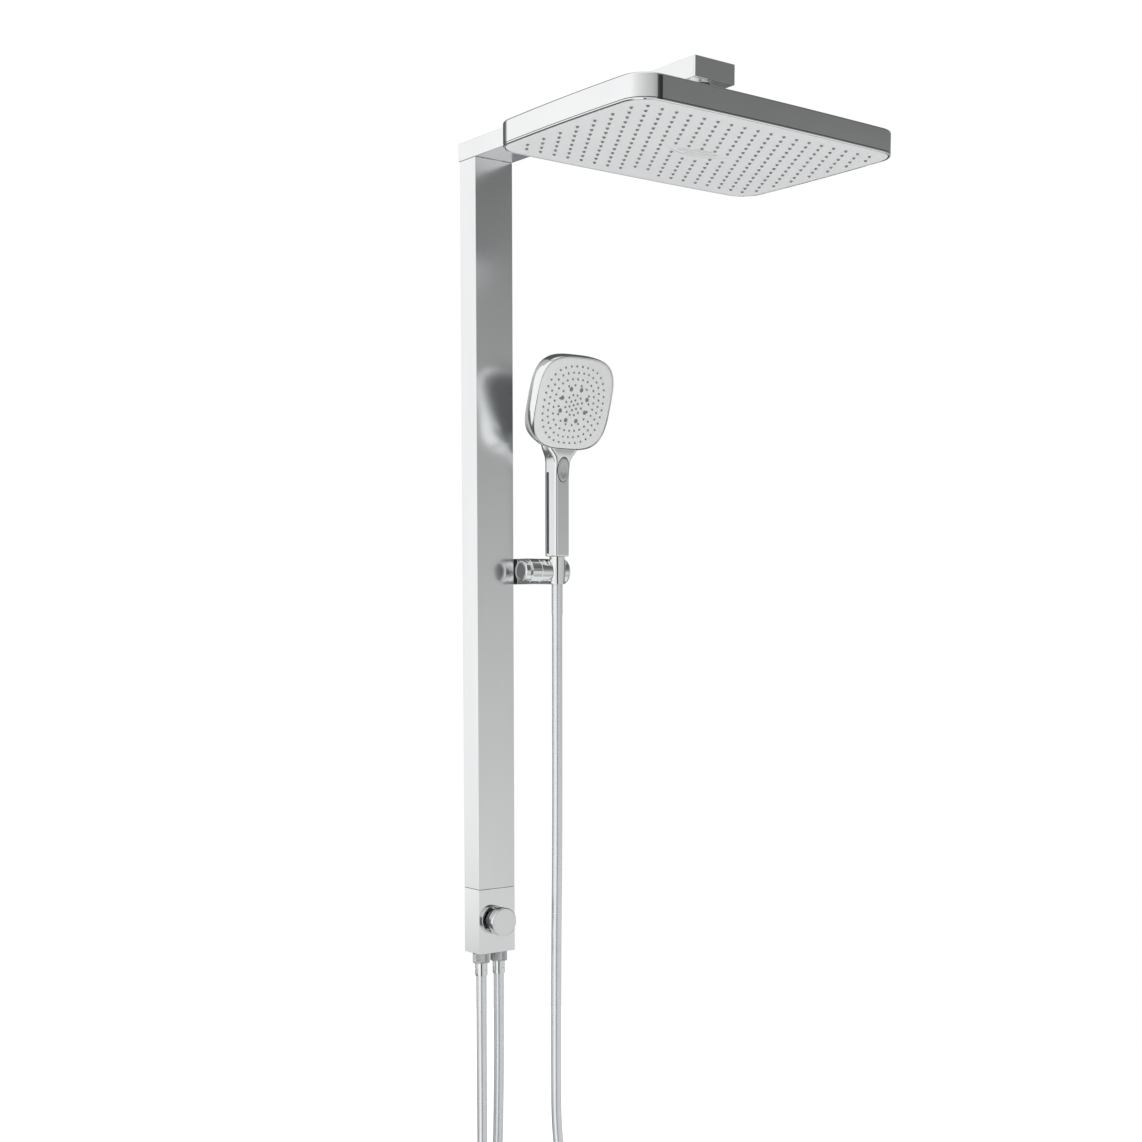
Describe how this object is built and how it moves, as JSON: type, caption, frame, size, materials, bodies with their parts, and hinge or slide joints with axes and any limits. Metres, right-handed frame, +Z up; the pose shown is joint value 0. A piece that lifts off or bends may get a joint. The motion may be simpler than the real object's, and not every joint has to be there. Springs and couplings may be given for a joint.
{
  "type": "rainfall shower column",
  "caption": "Square wall column with a long arm carrying a flat rectangular rain head, a turning diverter at its foot and a hand shower in a sliding holder on a hose.",
  "frame": {"origin": "centre of the upper wall plate's back face, on the wall plane", "axes": "+Z up along the column, +Y into the wall, so the rain head reaches out along -Y; +X to the right, the hand shower's side"},
  "size_m": [0.398, 0.5825, 1.6333],
  "materials": {
    "chromed_aluminium": "bright chrome plating",
    "chromed_brass": "bright chrome plating",
    "chromed_plastic": "bright chrome plating on ABS",
    "white_plastic": "fine satin moulding",
    "nozzle_rubber": "soft silicone",
    "black_nylon": "moulded nylon",
    "bare_brass": "machined",
    "plain_steel": "plain stainless",
    "silver_hose": "smooth silver PVC"
  },
  "bodies": {
    "column": {"column_profile": "chromed_aluminium", "arm_profile": "chromed_aluminium", "arm_end_cap": "chromed_brass", "diverter_housing": "chromed_brass", "inlet_hose_nut": "chromed_brass", "outlet_hose_nut": "chromed_brass", "inlet_ferrule": "chromed_brass", "outlet_ferrule": "chromed_brass", "inlet_end_ferrule": "chromed_brass", "inlet_end_nut": "chromed_brass", "head_union_nut": "chromed_brass", "inlet_washer": "nozzle_rubber", "outlet_washer": "nozzle_rubber", "arm_elbow": "bare_brass", "arm_outlet": "bare_brass", "inlet_nipple": "bare_brass", "outlet_nipple": "bare_brass", "diverter_cartridge": "bare_brass", "cartridge_nut": "bare_brass", "wall_plate_top": "plain_steel", "wall_plate_lower": "plain_steel", "riser_tube": "plain_steel", "arm_water_tube": "plain_steel", "inlet_hose": "silver_hose", "shower_hose": "silver_hose"},
    "head_swivel": {"ball_stem": "chromed_brass"},
    "head_side_tilt": {"ball_slide_ring": "black_nylon"},
    "head": {"head_socket": "bare_brass", "head_collar": "chromed_brass", "head_cover": "chromed_plastic", "head_lip_ring": "chromed_plastic", "head_spray_plate": "white_plastic", "head_nozzle_mat": "nozzle_rubber", "cascade_insert": "white_plastic", "head_baffle": "black_nylon"},
    "knob": {"diverter_knob": "chromed_brass", "diverter_spindle": "bare_brass"},
    "slider": {"slider_shoe": "plain_steel", "slider_pad": "black_nylon", "slider_block": "chromed_plastic", "cradle_axle": "plain_steel", "release_spring": "plain_steel"},
    "slider_button": {"release_button": "chromed_plastic"},
    "cradle": {"cradle_barrel": "chromed_plastic", "cone_liner": "chromed_plastic", "cradle_end_cap": "chromed_plastic", "hose_kink_sleeve": "silver_hose", "hose_end_ferrule": "bare_brass"},
    "handset": {"handset_body": "chromed_plastic", "handset_face_plate": "white_plastic", "handset_nozzle_mat": "nozzle_rubber", "handset_inlet_tube": "bare_brass", "hose_cone_nut": "chromed_brass"},
    "mode_button": {"handset_button": "chromed_plastic"}
  },
  "joints": [
    {"name": "head_swivel_joint", "type": "hinge", "parent": "column", "child": "head_swivel", "pos_m": [0, -0.449, 0.02], "axis": [0, 0, 1], "continuous": true},
    {"name": "head_side_tilt_joint", "type": "hinge", "parent": "head_swivel", "child": "head_side_tilt", "pos_m": [0, -0.449, 0.02], "axis": [0, 1, 0], "range_deg": [-7.5, 7.5]},
    {"name": "head_front_tilt_joint", "type": "hinge", "parent": "head_side_tilt", "child": "head", "pos_m": [0, -0.449, 0.02], "axis": [1, 0, 0], "range_deg": [-7.5, 7.5]},
    {"name": "knob_turn", "type": "hinge", "parent": "column", "child": "knob", "pos_m": [0, -0.042, -0.975], "axis": [0, -1, 0], "range_deg": [-90, 90]},
    {"name": "holder_slide", "type": "slide", "parent": "column", "child": "slider", "axis": [0, 0, 1], "range_m": [-0.25, 0.2], "deforming": ["shower_hose"]},
    {"name": "release_press", "type": "slide", "parent": "slider", "child": "slider_button", "axis": [1, 0, 0], "range_m": [0, 0.003], "stiffness_N_per_m": 800, "springref_m": -0.003, "deforming": ["release_spring"]},
    {"name": "cradle_tilt", "type": "hinge", "parent": "slider", "child": "cradle", "pos_m": [0.0486, -0.065, -0.493], "axis": [1, 0, 0], "range_deg": [-3, 20], "deforming": ["hose_kink_sleeve"]},
    {"name": "handset_swivel", "type": "hinge", "parent": "cradle", "child": "handset", "pos_m": [0.077, -0.077, -0.493], "axis": [0, 0, 1], "range_deg": [-20, 40]},
    {"name": "mode_button_press", "type": "slide", "parent": "handset", "child": "mode_button", "axis": [0, 1, 0], "range_m": [0, 0.002], "stiffness_N_per_m": 1500, "springref_m": -0.002}
  ]
}
